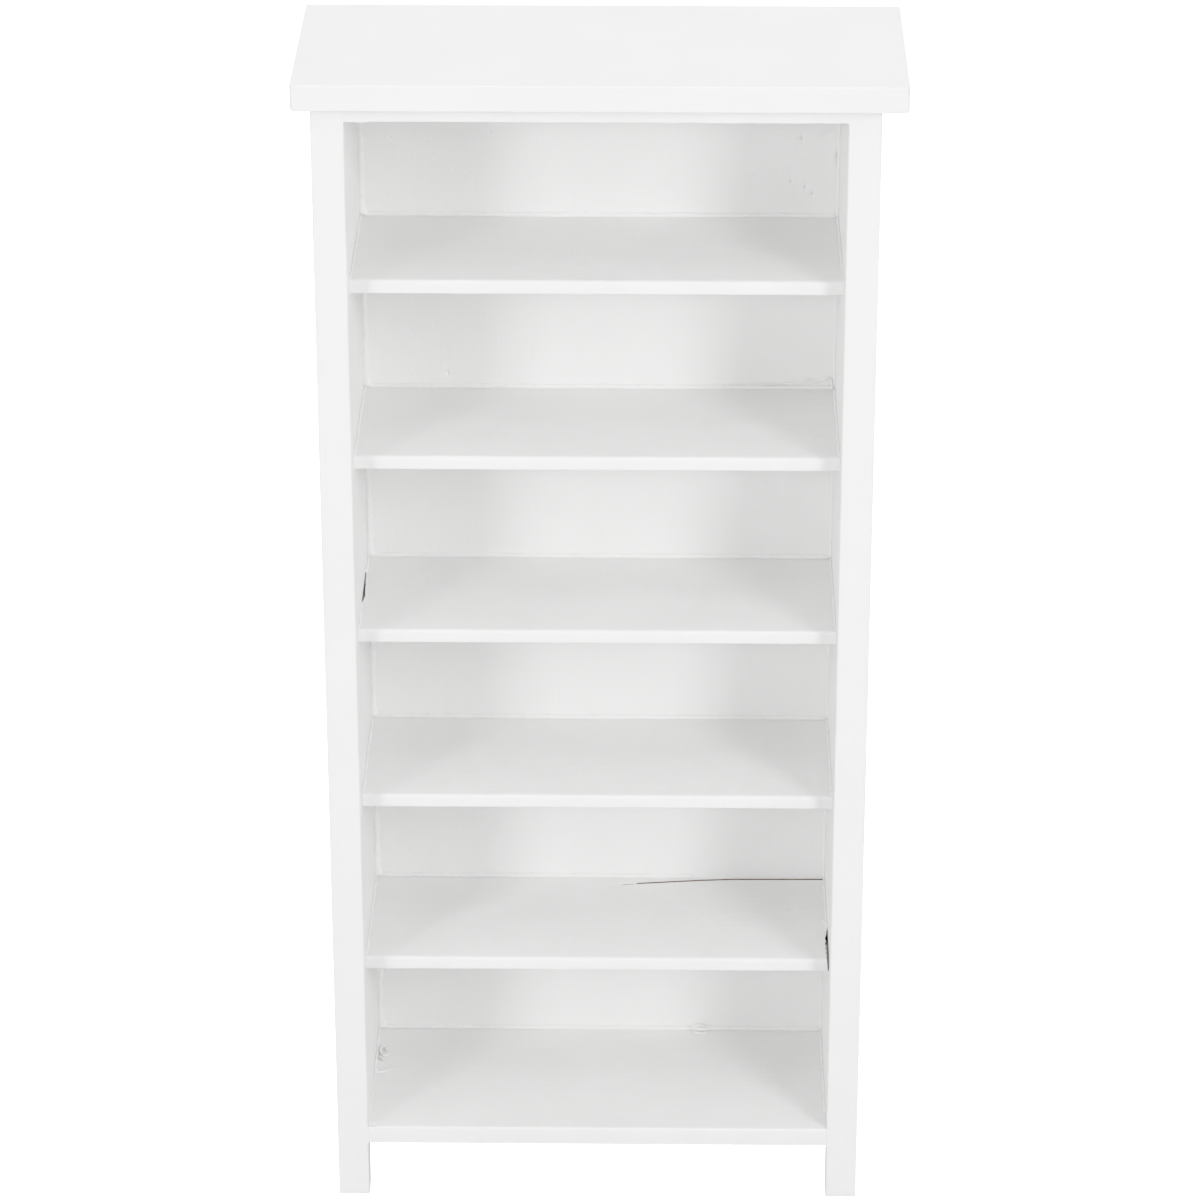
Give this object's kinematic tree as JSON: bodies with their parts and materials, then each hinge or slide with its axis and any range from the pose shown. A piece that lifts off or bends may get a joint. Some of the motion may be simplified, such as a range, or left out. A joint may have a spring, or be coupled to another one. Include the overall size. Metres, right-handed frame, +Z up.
{
  "type": "miniature bookcase",
  "caption": "Dolls' house bookcase in white-painted wood: tall open-fronted case on square post feet, fixed shelves set back behind the front posts, overhanging cap board.",
  "frame": {"origin": "on the floor, below the middle of the cap board, which is the widest and deepest piece", "axes": "+Z up, the open front faces -Y, +X to the right as seen from the front"},
  "size_m": [0.072, 0.0296, 0.152],
  "materials": {
    "painted_frame": "smooth satin white paint over sanded wood, edges softly rounded",
    "painted_panel": "thin satin white paint, faint grain, a few pinholes",
    "painted_shelf": "satin white paint over raised grain, slightly rough on the upper faces"
  },
  "bodies": {
    "root": {"cap_board": "painted_frame", "upper_board": "painted_frame", "front_left_post": "painted_frame", "front_right_post": "painted_frame", "rear_left_post": "painted_frame", "rear_right_post": "painted_frame", "left_side_panel": "painted_panel", "right_side_panel": "painted_panel", "back_panel": "painted_panel", "shelf_1": "painted_shelf", "shelf_2": "painted_shelf", "shelf_3": "painted_shelf", "shelf_4": "painted_shelf", "shelf_5": "painted_shelf", "bottom_board": "painted_shelf"}
  },
  "joints": []
}
